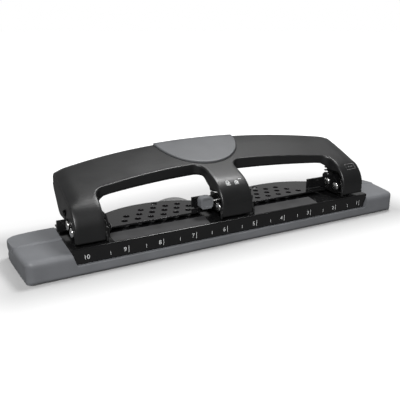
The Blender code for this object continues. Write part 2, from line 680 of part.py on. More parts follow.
# --- Storage lock -----------------------------------------------------------------------
def lock_knob():
    outline = rounded_rectangle(4.9 * MM, 25.4 * MM, 34.2 * MM, 2.4 * MM, 4)
    outline = [(x - 20.5 * MM, z) for x, z in outline]
    bm = prism(bmesh.new(), outline, "Y", at_y(14.2), at_y(20.2))
    obj = make_object("lock_knob", bm, GREY_PLASTIC)
    join(obj, box((-22.0 * MM, at_y(20), 27.2 * MM), (-19.0 * MM, at_y(27.2), 30.0 * MM)))
    return obj


def lock_bar():
    """Steel strip that slides behind the centre bracket's wing."""
    bm = box((-26.5 * MM, at_y(27.5), 23.4 * MM), (-14.4 * MM, at_y(28.7), 31.2 * MM))
    return make_object("lock_bar", bm, BLACK_STEEL)


def build():
    clear_scene()
    base_housing()
    base_feet()
    base_screws()
    base_channel()
    guide_plates()
    chip_tray()
    for side, x in HEADS.items():
        punch_head(side, x)
    handle_shell()
    handle_insert()
    lock_knob()
    lock_bar()


build()
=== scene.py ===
"""Looks of the desktop three hole punch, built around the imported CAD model.

Metres, +Z up, in the CAD model's frame. Places come from the CAD nodes' boxes. The handle,
the base and the sheet metal are replaced by smoother meshes of the same shape and size.
"""

from math import cos, pi, radians, sin, sqrt

import bmesh
import bpy
from mathutils import Euler, Matrix, Vector


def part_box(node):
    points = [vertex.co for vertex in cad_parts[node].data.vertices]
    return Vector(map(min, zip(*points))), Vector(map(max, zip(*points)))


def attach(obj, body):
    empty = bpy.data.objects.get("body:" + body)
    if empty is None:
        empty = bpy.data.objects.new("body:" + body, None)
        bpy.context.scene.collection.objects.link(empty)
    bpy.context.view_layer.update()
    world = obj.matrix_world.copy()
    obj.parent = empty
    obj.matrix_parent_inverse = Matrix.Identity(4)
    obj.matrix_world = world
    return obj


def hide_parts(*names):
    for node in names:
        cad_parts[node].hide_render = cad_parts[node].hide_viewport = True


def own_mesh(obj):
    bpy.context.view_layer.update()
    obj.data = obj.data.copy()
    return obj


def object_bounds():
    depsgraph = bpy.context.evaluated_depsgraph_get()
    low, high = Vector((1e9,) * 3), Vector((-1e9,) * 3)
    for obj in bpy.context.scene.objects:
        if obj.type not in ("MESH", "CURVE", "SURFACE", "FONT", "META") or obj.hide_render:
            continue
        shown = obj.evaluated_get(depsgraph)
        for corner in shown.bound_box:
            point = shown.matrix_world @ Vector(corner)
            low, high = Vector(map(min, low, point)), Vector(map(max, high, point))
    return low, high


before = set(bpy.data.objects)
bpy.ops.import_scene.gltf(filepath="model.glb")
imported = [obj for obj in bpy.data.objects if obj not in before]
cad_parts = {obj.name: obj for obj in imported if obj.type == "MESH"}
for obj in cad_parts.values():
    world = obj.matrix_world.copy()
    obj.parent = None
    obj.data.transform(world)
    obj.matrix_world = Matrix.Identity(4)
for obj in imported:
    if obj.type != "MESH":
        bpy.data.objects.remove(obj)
CAD_LOW, CAD_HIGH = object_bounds()

MM = 0.001
SIDES = ("left", "centre", "right")
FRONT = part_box("base_housing")[0].y
HALF_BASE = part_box("base_housing")[1].x
HALF_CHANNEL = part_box("base_channel")[1].x
HALF_RULER = 121.6 * MM                 # at the foot of the ruler face
FLANGE_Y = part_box("base_channel")[0].y
PLATE_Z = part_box("die_centre")[1].z
GUIDE_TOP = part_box("guide_plate_left")[1].z
HALF_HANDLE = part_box("handle_shell")[1].x
PUNCH_LOW, PUNCH_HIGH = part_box("punch_right")
HEAD_X = (PUNCH_LOW.x + PUNCH_HIGH.x) / 2
PUNCH_Y = (PUNCH_LOW.y + PUNCH_HIGH.y) / 2
PUNCH_RADIUS = (PUNCH_HIGH.x - PUNCH_LOW.x) / 2
SHEET = 1.2 * MM

LEG_OUT = HALF_HANDLE - HEAD_X          # side faces of a leg, from its head's centre
OUTER_LEG_IN = 7.6 * MM                 # inner face of an outer leg, from its head's centre
RIDGE_DEPTH = 73.0 * MM                 # handle's ridge at mid length, from the base's front
RIDGE_BOW = 19.5 * MM                   # how far the ridge comes forward at its ends
RIDGE_Z = 64.0 * MM
RIDGE_DROP = 6.0 * MM
SHOULDER = 1.4 * MM                     # extra fall of the handle's top at its very ends
RIDGE_REACH = 117.0 * MM                # half the ridge's length
INSERT_RADIUS = 35.5 * MM
INSERT_X = -2.7 * MM
EDGE = 1.5 * MM                         # rounding of the handle's long edges
SKIN = 1.3 * MM                         # handle's wall
DIE_HOLE = 6.2 * MM                     # radius of the sheet's hole round a die

ENDS = ((-1, "left"), (1, "right"))
WELD = 0.002 * MM                       # vertices closer than this are merged
SHARP_FROM = 35                         # degrees between faces that are shaded as an edge
SOFTEN_FROM = 50                        # degrees between faces that a bevel rounds
NOISE_LOW, NOISE_HIGH = 0.3, 0.7        # range that most of a noise's values lie in


# --- Small geometry helpers --------------------
def at_y(depth_mm):
    """World Y of a point that lies depth_mm behind the base's front face."""
    return FRONT + depth_mm * MM


def node_box(node):
    """Low corner, high corner and middle of a CAD node's box."""
    low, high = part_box(node)
    return low, high, [(a + b) / 2 for a, b in zip(low, high)]


def outline_mm(points):
    """(depth, height) pairs in millimetres as world (Y, Z) pairs."""
    return [(at_y(y), z * MM) for y, z in points]


def clamp(value):
    return min(max(value, 0.0), 1.0)


def arc(centre, radius, start_deg, end_deg, steps):
    angles = [radians(start_deg + (end_deg - start_deg) * i / steps) for i in range(steps + 1)]
    return [(centre[0] + radius * cos(a), centre[1] + radius * sin(a)) for a in angles]


def circle(centre, radius, sides):
    return arc(centre, radius, 0, 360 * (sides - 1) / sides, sides - 1)


def rounded(corners, steps=5):
    """A polyline through (y, z, radius) corners, each rounded by a quadratic curve."""
    points = []
    for i, (y, z, radius) in enumerate(corners):
        here = Vector((y, z))
        if radius == 0 or i in (0, len(corners) - 1):
            points.append(here)
            continue
        before = Vector(corners[i - 1][:2]) - here
        after = Vector(corners[i + 1][:2]) - here
        start = here + before.normalized() * min(radius, before.length * 0.49)
        end = here + after.normalized() * min(radius, after.length * 0.49)
        for k in range(steps + 1):
            t = k / steps
            points.append(start * (1 - t) ** 2 + here * 2 * t * (1 - t) + end * t ** 2)
    return points


def rounded_mm(corners, steps=5):
    """The same with corners in millimetres, as world (Y, Z) pairs."""
    return outline_mm(rounded(corners, steps))


def smooth_curve(points, steps):
    """A Catmull-Rom curve through 2-D points."""
    path = [Vector(p) for p in points]
    path = [path[0] * 2 - path[1]] + path + [path[-1] * 2 - path[-2]]
    curve = []
    for i in range(1, len(path) - 2):
        a, b, c, d = path[i - 1:i + 3]
        for k in range(steps):
            t = k / steps
            curve.append(0.5 * (2 * b + (c - a) * t + (2 * a - 5 * b + 4 * c - d) * t ** 2
                                + (3 * b - a - 3 * c + d) * t ** 3))
    curve.append(path[-2])
    return curve


def resample(path, count):
    """count + 1 points at even distances along a polyline."""
    lengths = [0.0]
    for a, b in zip(path, path[1:]):
        lengths.append(lengths[-1] + (b - a).length)
    points = []
    k = 0
    for i in range(count + 1):
        goal = lengths[-1] * i / count
        while k < len(path) - 2 and lengths[k + 1] < goal:
            k += 1
        span = lengths[k + 1] - lengths[k]
        t = (goal - lengths[k]) / span if span else 0.0
        points.append(path[k].lerp(path[k + 1], clamp(t)))
    return points


def new_object(name, data):
    obj = bpy.data.objects.new(name, data)
    bpy.context.scene.collection.objects.link(obj)
    return obj


def to_mesh(bm, name):
    """Turn a bmesh into a mesh, and free it."""
    mesh = bpy.data.meshes.new(name)
    bm.to_mesh(mesh)
    bm.free()
    return mesh


def heading(path, i):
    """Direction of a path at its point i."""
    return (path[min(i + 1, len(path) - 1)] - path[max(i - 1, 0)]).normalized()


def piece(name, bm, mat, body, replaces=()):
    """Turn a bmesh in world space into a shown piece that rides on a CAD body."""
    bmesh.ops.remove_doubles(bm, verts=bm.verts, dist=WELD)
    bmesh.ops.recalc_face_normals(bm, faces=bm.faces)
    mesh = to_mesh(bm, name)
    mesh.shade_smooth()
    mesh.set_sharp_from_angle(angle=radians(SHARP_FROM))
    mesh.materials.append(mat)
    obj = new_object(name, mesh)
    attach(obj, body)
    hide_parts(*replaces)
    return obj


def thicken(obj, thickness):
    """Give a single-sheet skin its wall, inwards."""
    mesh = obj.data
    middle = sum((v.co for v in mesh.vertices), Vector()) / len(mesh.vertices)
    if sum((f.center - middle).dot(f.normal) * f.area for f in mesh.polygons) < 0:
        mesh.flip_normals()
    mod = obj.modifiers.new("wall", "SOLIDIFY")
    mod.thickness = thickness
    mod.offset = -1.0


def soften(obj, width, segments=2):
    """Round a piece's sharp edges."""
    mod = obj.modifiers.new("edge", "BEVEL")
    mod.width = width
    mod.segments = segments
    mod.limit_method = "ANGLE"
    mod.angle_limit = radians(SOFTEN_FROM)


def prism(outline, axis, low, high, bm=None):
    """A flat outline drawn out along an axis, in a new bmesh or added to bm."""
    bm = bmesh.new() if bm is None else bm
    place = {
        "X": lambda a, b, s: (s, a, b),
        "Y": lambda a, b, s: (a, s, b),
        "Z": lambda a, b, s: (a, b, s),
    }[axis]
    start, end = [[bm.verts.new(place(a, b, s)) for a, b in outline] for s in (low, high)]
    bm.faces.new(start)
    bm.faces.new(reversed(end))
    for i in range(len(outline)):
        j = (i + 1) % len(outline)
        bm.faces.new((start[j], start[i], end[i], end[j]))
    return bm


def box(low, high):
    outline = [(low[0], low[1]), (high[0], low[1]), (high[0], high[1]), (low[0], high[1])]
    return prism(outline, "Z", low[2], high[2])


def turned(profile, sides, axis, centre, closed=False):
    """A solid of revolution. profile holds (radius, distance) pairs that start and end on the
    axis. With closed they are a loop off the axis, which makes a ring."""
    bm = bmesh.new()
    along = {"X": Matrix.Rotation(pi / 2, 4, "Y"), "Z": Matrix.Identity(4)}[axis]
    place = Matrix.Translation(centre) @ along
    rings = []
    for radius, distance in profile:
        points = circle((0, 0), radius, sides) if radius else [(0, 0)]
        rings.append([bm.verts.new(place @ Vector((a, b, distance))) for a, b in points])
    if closed:
        rings.append(rings[0])
    for lower, upper in zip(rings, rings[1:]):
        for i in range(sides):
            j = (i + 1) % sides
            corners = [lower[i % len(lower)], lower[j % len(lower)], upper[j % len(upper)],
                       upper[i % len(upper)]]
            bm.faces.new(dict.fromkeys(corners))
    return bm


def boolean(bm, other, operation):
    """Combine two closed bmeshes with Blender's exact Boolean."""
    objects = []
    for source in (bm, other):
        bmesh.ops.recalc_face_normals(source, faces=source.faces)
        objects.append(new_object("operand", to_mesh(source, "operand")))
    mod = objects[0].modifiers.new("boolean", "BOOLEAN")
    mod.operation = operation
    mod.object = objects[1]
    mod.solver = "EXACT"
    depsgraph = bpy.context.evaluated_depsgraph_get()
    result = bmesh.new()
    result.from_mesh(objects[0].evaluated_get(depsgraph).to_mesh())
    for obj in objects:
        mesh = obj.data
        bpy.data.objects.remove(obj, do_unlink=True)
        bpy.data.meshes.remove(mesh)
    return result


def cut(bm, other):
    return boolean(bm, other, "DIFFERENCE")


def join(bm, other):
    return boolean(bm, other, "UNION")


def grid_faces(bm, rows):
    """Quads between equally long lists of vertices."""
    for first, second in zip(rows, rows[1:]):
        for i in range(len(first) - 1):
            corners = dict.fromkeys((first[i], first[i + 1], second[i + 1], second[i]))
            if len(corners) > 2:
                bm.faces.new(corners)


def face_up(bm, vert):
    """Turn a skin's faces so that they point up at a vertex on its top."""
    bmesh.ops.recalc_face_normals(bm, faces=bm.faces)
    bm.normal_update()
    if vert.normal.z < 0:
        bmesh.ops.reverse_faces(bm, faces=bm.faces)
        bm.normal_update()


def square_to(direction, axis):
    """A direction with its part along a unit axis taken away."""
    return (direction - axis * direction.dot(axis)).normalized()

# --- Materials ---------------------------------
def wire(tree, node, inputs):
    """Give each input of a shader node its value, or a link if what it gets is a socket."""
    for name, value in inputs.items():
        if isinstance(value, bpy.types.NodeSocket):
            tree.links.new(value, node.inputs[name])
        else:
            node.inputs[name].default_value = value
    return node


def add_node(tree, kind, inputs):
    return wire(tree, tree.nodes.new(f"ShaderNode{kind}"), inputs)


def new_material(name, colour, roughness, metallic=0.0):
    mat = bpy.data.materials.new(name)
    mat.use_nodes = True
    tree = mat.node_tree
    shader = wire(tree, tree.nodes["Principled BSDF"],
                  {"Base Color": (*colour, 1.0), "Roughness": roughness, "Metallic": metallic})
    return mat, tree, shader


def noise(tree, scale, detail, stretch=(1, 1, 1)):
    """Noise in metres that stays with the object."""
    place = add_node(tree, "TexCoord", {}).outputs["Object"]
    place = add_node(tree, "Mapping", {"Vector": place, "Scale": stretch}).outputs["Vector"]
    texture = add_node(tree, "TexNoise", {"Vector": place, "Scale": scale, "Detail": detail})
    return texture.outputs["Fac"]


def map_range(tree, value, from_low, from_high, low, high):
    node = add_node(tree, "MapRange", {"Value": value, "From Min": from_low,
                                       "From Max": from_high, "To Min": low, "To Max": high})
    return node.outputs["Result"]


def ramp(tree, value, stops):
    """A colour ramp through (position, colour) stops."""
    node = add_node(tree, "ValToRGB", {"Fac": value})
    elements = node.color_ramp.elements
    for position, _ in stops[1:-1]:
        elements.new(position)
    for element, (position, colour) in zip(elements, stops):
        element.position = position
        element.color = (*colour, 1.0)
    return node.outputs["Color"]


def vary_colour(tree, shader, value, colour, amount):
    """Lighten and darken the base colour by a small amount."""
    stops = ((NOISE_LOW, [c * (1 - amount) for c in colour]),
             (NOISE_HIGH, [c * (1 + amount) for c in colour]))
    wire(tree, shader, {"Base Color": ramp(tree, value, stops)})


def finish(name, colour, roughness, patches, tint, grain, relief, gloss=None, metallic=0.0):
    """A surface with slow patches of colour under a fine grain of bump. patches and grain
    are noises, tint is how far the colour varies, and relief the bump's strength and depth.
    gloss is a range of roughness, which follows the grain on metal, the patches elsewhere."""
    mat, tree, shader = new_material(name, colour, roughness, metallic)
    patches, grain = noise(tree, *patches), noise(tree, *grain)
    vary_colour(tree, shader, patches, colour, tint)
    if gloss:
        source = grain if metallic else patches
        wire(tree, shader,
             {"Roughness": map_range(tree, source, NOISE_LOW, NOISE_HIGH, *gloss)})
    strength, depth = relief
    bump = add_node(tree, "Bump", {"Height": grain, "Strength": strength,
                                   "Distance": depth * MM})
    wire(tree, shader, {"Normal": bump.outputs["Normal"]})
    return mat


def moulded_plastic(name, colour, roughness):
    """Spark-eroded mould texture."""
    return finish(name, colour, roughness, (60.0, 2.0), 0.07, (2600.0, 4.0), (0.35, 0.02),
                  (roughness - 0.03, roughness + 0.04))


def coated_steel(name, colour, roughness):
    """Satin black coating on sheet steel, with a slight orange peel."""
    return finish(name, colour, roughness, (90.0, 3.0), 0.12, (900.0, 3.0), (0.05, 0.02),
                  (roughness - 0.04, roughness + 0.05))


def bright_metal(name, colour, roughness, stretch=(1, 1, 1)):
    """Turned, drawn or ground steel. A stretch makes its fine lines run in one direction."""
    return finish(name, colour, roughness, (300.0, 2.0), 0.1, (1500.0, 5.0, stretch),
                  (0.15, 0.01), (roughness * 0.7, roughness * 1.5), 1.0)


def rubber(name, colour):
    return finish(name, colour, 0.8, (500.0, 4.0), 0.2, (2000.0, 4.0), (0.5, 0.03))


def printed(name, colour):
    """Pad-printed ink that is a little thin in places."""
    return finish(name, colour, 0.5, (1800.0, 3.0), 0.12, (3000.0, 2.0), (0.1, 0.01))

GREY = moulded_plastic("grey_housing", (0.155, 0.16, 0.17), 0.5)
BLACK = moulded_plastic("black_handle", (0.009, 0.0092, 0.0095), 0.36)
BLUE_GREY = moulded_plastic("insert_plastic", (0.105, 0.109, 0.115), 0.45)
TRAY_GREY = moulded_plastic("tray_plastic", (0.45, 0.45, 0.45), 0.55)
STEEL_BLACK = coated_steel("black_steel", (0.007, 0.007, 0.0073), 0.17)
# painted reflection: a lighter satin coating that stands in for the backdrop's reflection on the
# die plate
PAINTED_REFLECTION_STEEL = coated_steel("painted_reflection_satin", (0.047, 0.047, 0.048), 0.5)
PLATED = bright_metal("plated_steel", (0.75, 0.75, 0.74), 0.2)
TOOL = bright_metal("tool_steel", (0.5, 0.5, 0.49), 0.28, (1, 1, 0.1))
WIRE = bright_metal("spring_steel", (0.09, 0.09, 0.088), 0.35)
FOOT = rubber("foot_rubber", (0.02, 0.02, 0.02))
# painted shade: near-black for the shaded gap round the inlay
INLAY_GAP_SHADE = rubber("painted_gap_shade", (0.004, 0.004, 0.004))
INK = printed("white_print", (0.75, 0.76, 0.76))
GREY_INK = printed("grey_print", (0.22, 0.22, 0.22))


# --- Handle ------------------------------------
def ridge(x):
    t = abs(x) / RIDGE_REACH
    return FRONT + RIDGE_DEPTH - RIDGE_BOW * t ** 2, RIDGE_Z - RIDGE_DROP * t ** 2.2 - end_fall(x)


def end_fall(x):
    """How much the handle's top is lower near its ends, where its corner is rounded."""
    return SHOULDER * (max(0.0, abs(x) - 112 * MM) / (9 * MM)) ** 2


def roof(x, lift=0.0):
    """Smooth (Y, Z) curve over the handle, from the skirt's foot to the back wall's edge."""
    ridge_y, ridge_z = ridge(x)
    knee_y, knee_z = at_y(20), 46.3 * MM - end_fall(x)
    skirt = ((4.2, 20.4, 1, 0), (4.6, 29, 1, 0), (6.4, 34.5, 0.9, 0.3), (9.5, 39, 0.75, 0.7),
             (14, 43, 0.55, 0.85))
    points = [(at_y(y) - out * lift, z * MM + up * lift) for y, z, out, up in skirt]
    points.append((knee_y - 0.4 * lift, knee_z + 0.92 * lift))
    for t, crown in ((0.3, 0.5), (0.6, 0.7), (0.85, 0.6)):
        points.append((knee_y + (ridge_y - knee_y) * t - 0.3 * lift,
                       knee_z + (ridge_z - knee_z) * t + crown * MM + 0.95 * lift))
    points += [(ridge_y, ridge_z + lift),
               (ridge_y + 3 * MM + 0.6 * lift, ridge_z - 1.7 * MM + 0.7 * lift),
               (ridge_y + 4.9 * MM + lift, ridge_z - 5 * MM),
               (ridge_y + 5.3 * MM + lift, ridge_z - 10.5 * MM)]
    return smooth_curve(points, 6)


def bar_floor(y):
    """Height of the bar's lower edges above the table."""
    return 41.3 * MM + (y - at_y(16)) * 0.163


def part_of(path, start_y, end_y=None):
    """The stretch of a roof curve from one depth to another, or down to the bar's floor."""
    points = []
    for a, b in zip(path, path[1:]):
        if b.x < start_y:
            continue
        if not points:
            t = (start_y - a.x) / (b.x - a.x) if b.x != a.x else 0.0
            points.append(a.lerp(b, clamp(t)))
        if end_y is not None and b.x >= end_y:
            points.append(a.lerp(b, (end_y - a.x) / (b.x - a.x)))
            return points
        if end_y is None and b.x > at_y(45) and b.y < bar_floor(b.x):
            over_a, over_b = a.y - bar_floor(a.x), b.y - bar_floor(b.x)
            points.append(a.lerp(b, over_a / (over_a - over_b)))
            return points
        points.append(b)
    return points


def window_edge(sign):
    """Plan of a finger window's round-cornered back edge, from the centre leg outwards,
    moved by the width of the rounded edge into the handle's material."""
    corner = 9 * MM
    inside = LEG_OUT - EDGE + corner
    outside = HEAD_X - OUTER_LEG_IN + EDGE - corner

    def edge_y(x):
        return at_y(39.2) - 12.0 * MM * (x / (95 * MM)) ** 2 + EDGE

    points = arc((inside, edge_y(inside) - corner), corner, 180, 94, 8)
    steps = 22
    for i in range(1, steps):
        x = inside + (outside - inside) * i / steps
        points.append((x, edge_y(x)))
    points += arc((outside, edge_y(outside) - corner), corner, 82, 0, 8)
    return [(x * sign, y) for x, y in points]


def handle_columns():
    """(x, start y) of every line across the bar, from left to right, and where legs are."""
    left = window_edge(-1)[::-1]
    right = window_edge(1)
    outer_start, centre_start = left[0][1], left[-1][1]
    outside = HALF_HANDLE - EDGE
    columns = []
    legs = []
    spans = ((-outside, left[0][0], outer_start), (left[-1][0], right[0][0], centre_start),
             (right[-1][0], outside, outer_start))
    for number, (low, high, start) in enumerate(spans):
        steps = 12 if number == 1 else 9
        first = len(columns)
        columns += [(low + (high - low) * i / steps, start) for i in range(steps + 1)]
        legs.append((first, len(columns) - 1))
        if number < 2:
            columns += (left, right)[number][1:-1]
    return columns, legs


def edge_normal(points, i):
    """Plan direction square to a boundary at point i."""
    a = points[max(i - 1, 0)]
    b = points[min(i + 1, len(points) - 1)]
    along = Vector((b.x - a.x, b.y - a.y, 0)).normalized()
    return Vector((along.y, -along.x, 0))


def rolled_edge(bm, boundary, ups, outs, radius):
    """Rows of vertices that round a skin's boundary over, from facing up to facing out."""
    steps = 4
    rows = [boundary]
    for k in range(1, steps + 1):
        rows.append([bm.verts.new(vert.co - up * radius + up.slerp(out, k / steps) * radius)
                     for vert, up, out in zip(boundary, ups, outs)])
    return rows


def roll_over(bm, boundary, ups, outs, lower):
    """Round the skin's boundary over and take it down as a wall to the lower points."""
    rows = rolled_edge(bm, boundary, ups, outs, EDGE)
    wall = 4
    top = [v.co.copy() for v in rows[-1]]
    for k in range(1, wall + 1):
        rows.append([bm.verts.new(a.lerp(b, k / wall)) for a, b in zip(top, lower)])
    grid_faces(bm, rows)


def end_wall_foot():
    """Lower outline of the handle's end walls, from the skirt to the back. It leaves room
    for both pins and, behind them, for the bracket's wing."""
    corners = [(6.4, 20.4, 0), (6.4, 26.5, 1.5), (8.2, 29.4, 1.5), (12.0, 30.6, 2),
               (24.4, 31.8, 0.6), (24.9, 32.6, 0.6), (23.4, 36.5, 0.6), (24.8, 37.9, 0.6),
               (28.6, 36.6, 0.8), (28.6, 29.4, 0.6), (36.0, 29.2, 2), (43.0, 28.8, 3),
               (46.5, 31.2, 3), (51.0, 37.0, 6), (56.9, 44.5, 2)]
    return [Vector(p) for p in rounded_mm(corners)]


def side_wall_floor(y):
    """Lower edge of the legs' side walls, with a corner in front of the bracket's wing."""
    points = outline_mm([(0, 20.4), (6.4, 20.4), (6.5, 30.0), (8.4, 33.6), (12.2, 37.2),
                         (24.2, 34.4), (24.3, 37.4), (29.0, 40.2), (34.5, 44.6), (90, 53.5)])
    for (y0, z0), (y1, z1) in zip(points, points[1:]):
        if y <= y1:
            return z0 + (z1 - z0) * (y - y0) / (y1 - y0)
    return points[-1][1]


def handle_surface(bm):
    """The handle's outer skin as a grid of vertices, with its boundary left to be rounded."""
    columns, legs = handle_columns()
    bar_rows, leg_rows = 46, 34
    bar = []
    for x, start in columns:
        path = part_of(roof(x), start)
        bar.append([bm.verts.new((x, p.x, p.y)) for p in resample(path, bar_rows)])
    grid_faces(bm, bar)
    leg_grids = []
    for first, last in legs:
        grid = []
        for i in range(first, last + 1):
            x, start = columns[i]
            path = part_of(roof(x), at_y(0), start)
            column = [bm.verts.new((x, p.x, p.y)) for p in resample(path, leg_rows)[:-1]]
            grid.append(column + [bar[i][0]])
        grid_faces(bm, grid)
        leg_grids.append(grid)
    return legs, bar, leg_grids


def handle_skin():
    """The handle's shell: its outer skin, with the edges rolled over into walls."""
    bm = bmesh.new()
    legs, bar, grids = handle_surface(bm)
    face_up(bm, bar[0][4])
    up = {v: v.normal.copy() for v in bm.verts}
    foot = end_wall_foot()
    for sign, grid_index, column in ((-1, 0, 0), (1, 2, -1)):
        boundary = grids[grid_index][column][:-1] + bar[column]
        out = Vector((sign, 0, 0))
        normals = [square_to(up[v], out) for v in boundary]
        lower = [Vector((sign * HALF_HANDLE, p.x, p.y)) for p in resample(foot, len(boundary) - 1)]
        lower[-1] = Vector((sign * HALF_HANDLE, boundary[-1].co.y, boundary[-1].co.z))
        roll_over(bm, boundary, normals, [out] * len(boundary), lower)
    for first, second in ((0, 1), (1, 2)):
        start, end = legs[first][1], legs[second][0]
        rim = [bar[i][0] for i in range(start, end + 1)]
        boundary = grids[first][-1][:-1] + rim + grids[second][0][:-1][::-1]
        points = [v.co for v in boundary]
        outs = [edge_normal(points, i) for i in range(len(points))]
        normals = [square_to(up[v], out) for v, out in zip(boundary, outs)]
        lower = []
        low_x, high_x = points[0].x, points[-1].x
        for p, out in zip(points, outs):
            q = p + out * EDGE
            t = clamp(min(q.x - low_x, high_x - q.x) / (9 * MM))     # 0 beside a leg
            floor_z = side_wall_floor(q.y) * (1 - t) + bar_floor(q.y) * t
            y = max(q.y, at_y(6.4)) if t == 0 else q.y
            lower.append(Vector((q.x, y, min(floor_z, p.z - EDGE))))
        roll_over(bm, boundary, normals, outs, lower)
    thicken(piece("handle_skin", bm, BLACK, "handle", ("handle_shell",)), SKIN)


def inlay_edge(radius, steps):
    """Plan of a half circle round the inlay: x, y and the direction outwards."""
    for i in range(steps + 1):
        angle = pi * i / steps
        yield (INSERT_X - radius * cos(angle), FRONT + RIDGE_DEPTH - radius * sin(angle),
               Vector((-cos(angle), -sin(angle), 0)))


def handle_inlay():
    """Half-round inlay on the bar, with a rolled edge."""
    lift, edge, wall = 1.4 * MM, 0.8 * MM, 0.7 * MM
    bm = bmesh.new()
    grid = []
    outs = []
    for x, start, out in inlay_edge(INSERT_RADIUS - edge, 40):
        path = part_of(roof(x, lift), min(start, ridge(x)[0]), ridge(x)[0] + 2.2 * MM)
        grid.append([bm.verts.new((x, p.x, p.y)) for p in resample(path, 26)])
        outs.append(out)
    grid_faces(bm, grid)
    face_up(bm, grid[len(grid) // 2][2])
    boundary = [column[0] for column in grid]
    ups = [v.normal.copy() for v in boundary]
    outs = [square_to(out, up) for out, up in zip(outs, ups)]
    rim = rolled_edge(bm, boundary, ups, outs, edge)
    rim.append([bm.verts.new(v.co - Vector((0, 0, lift))) for v in rim[-1]])
    grid_faces(bm, rim)
    thicken(piece("handle_inlay", bm, BLUE_GREY, "handle",
                  ("handle_insert",)), wall)


def inlay_joint():
    """A black strip on the skin round the inlay's curved front edge: painted shade for the gap
    between the inlay and the skin.
    """
    bm = bmesh.new()
    rows = []
    for radius in (INSERT_RADIUS - 0.3 * MM, INSERT_RADIUS + 0.45 * MM):
        rows.append([
            bm.verts.new(on_roof(x, min(y, ridge(x)[0] + 1.5 * MM), 0.08 * MM)[0])
            for x, y, _ in inlay_edge(radius, 60)])
    grid_faces(bm, rows)
    piece("inlay_joint", bm, INLAY_GAP_SHADE, "handle")


def on_roof(x, y, lift=0.0):
    """The point of a roof curve at a depth, and the direction up the slope there."""
    path = roof(x, lift)
    for a, b in zip(path, path[1:]):
        if b.x >= y:
            break
    point = a.lerp(b, (y - a.x) / (b.x - a.x))
    return Vector((x, point.x, point.y)), Vector((0, b.x - a.x, b.y - a.y)).normalized()


# --- Base --------------------------------------
LIP_Z = 7.5 * MM
BASE_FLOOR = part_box("base_housing")[0].z


def cap_profile():
    """Side profile of an end cap, from the front's foot over the top to the back's foot."""
    corners = [(0.9, 0.8, 0), (0.0, 2.0, 1.0), (0.3, 16.1, 4.6), (26.0, 17.05, 0.7),
               (27.4, 18.5, 0.8), (48.5, 18.6, 4.0), (56.0, 14.0, 5.0), (56.0, 2.0, 1.0),
               (55.1, 0.8, 0)]
    return resample([Vector(p) for p in rounded_mm(corners, 8)], 110)


def cap_end(y):
    """Half length of the base at a depth: the ends bow outwards towards the back."""
    bow_y = at_y(42)
    t = clamp((bow_y - y) / (bow_y - at_y(3)))
    return HALF_BASE - 3.6 * MM * t ** 1.8


def cap_start(z):
    """Where the cap begins beside the sheet metal, whose end leans outwards."""
    t = clamp((z - LIP_Z) / (PLATE_Z - LIP_Z))
    return HALF_RULER + 0.4 * MM + (HALF_CHANNEL - HALF_RULER) * t


def cap_corner(inward):
    """Rounding radius between a profile point and the end face."""
    facing_back = max(0.0, -inward.x)
    facing_front = max(0.0, inward.x)
    return (3.4 + 2.0 * facing_front ** 2 + 8.5 * facing_back ** 2) * MM


def under_slope(x, y, z):
    """Height of a point on the cap's raised back, which falls away outwards."""
    t = (abs(x) - 125.0 * MM) / (35.0 * MM)
    near, far = (19.0 - 2.0 * t) * MM, (19.0 - 5.4 * t) * MM
    depth = (y - at_y(27.5)) / (30.5 * MM)
    ceiling = near + (far - near) * depth + 40.0 * MM * max(0.0, -depth)
    over = z - ceiling
    return z - (over + sqrt(over ** 2 + (0.5 * MM) ** 2)) / 2


def cap_shell(sign, name):
    """One end cap, with its pockets and the posts for the feet underneath."""
    profile = cap_profile()
    count = len(profile)
    headings = [heading(profile, i) for i in range(count)]
    inwards = [Vector((along.y, -along.x)) for along in headings]
    radii = [cap_corner(n) for n in inwards]
    for _ in range(6):
        middle = [(a + b + c) / 3 for a, b, c in zip(radii, radii[1:], radii[2:])]
        radii = [radii[0]] + middle + [radii[-1]]
    bm = bmesh.new()
    rows = []
    lengths = 12
    for k in range(lengths):
        row = []
        for p, radius in zip(profile, radii):
            start = cap_start(p.y)
            x = start + (cap_end(p.x) - radius - start) * k / lengths
            row.append(bm.verts.new((x * sign, p.x, under_slope(x, p.x, p.y))))
        rows.append(row)
    steps = 8
    for k in range(steps + 1):
        phi = pi / 2 * k / steps
        row = []
        for p, n, radius in zip(profile, inwards, radii):
            q = p + n * radius * (1 - cos(phi))
            q.y = max(q.y, BASE_FLOOR) if p.y > 1.0 * MM else BASE_FLOOR
            x = cap_end(p.x) - radius * (1 - sin(phi))
            row.append(bm.verts.new((x * sign, q.x, under_slope(x, q.x, q.y))))
        rows.append(row)
    grid_faces(bm, rows)
    last = rows[-1]
    rungs = []
    half = count // 2
    across = 10
    for i in range(half + 1):
        a, b = last[i], last[count - 1 - i]
        rung = [a]
        for j in range(1, across):
            co = a.co.lerp(b.co, j / across)
            bulge = sin(pi * j / across) * 0.25 * MM
            rung.append(bm.verts.new((min(abs(co.x) + bulge, HALF_BASE) * sign, co.y, co.z)))
        rung.append(b)
        if a is b:
            rung = [a] * (across + 1)
        rungs.append(rung)
    grid_faces(bm, rungs)
    bm.faces.new(rows[0])
    foot = [row[0] for row in rows] + rungs[0][1:-1] + [row[-1] for row in reversed(rows)]
    bm.faces.new(foot)
    bmesh.ops.remove_doubles(bm, verts=bm.verts, dist=WELD)
    pockets = ((126.8, 153, 3, 52.5, 12.4), (126.8, 139, 30, 47, 15.4))
    for near, far, front, back, top in pockets:
        low, high = sorted((sign * near * MM, sign * far * MM))
        bm = cut(bm, box((low, at_y(front), -5 * MM), (high, at_y(back), top * MM)))
    post = 5.6 * MM                             # radius
    for row in ("front", "rear"):
        _, high, (x, y, _) = node_box(f"foot_{name}_{row}")
        bm = join(bm, prism(circle((x, y), post, 32), "Z", high.z + 0.3 * MM, 13.4 * MM))
    return bm


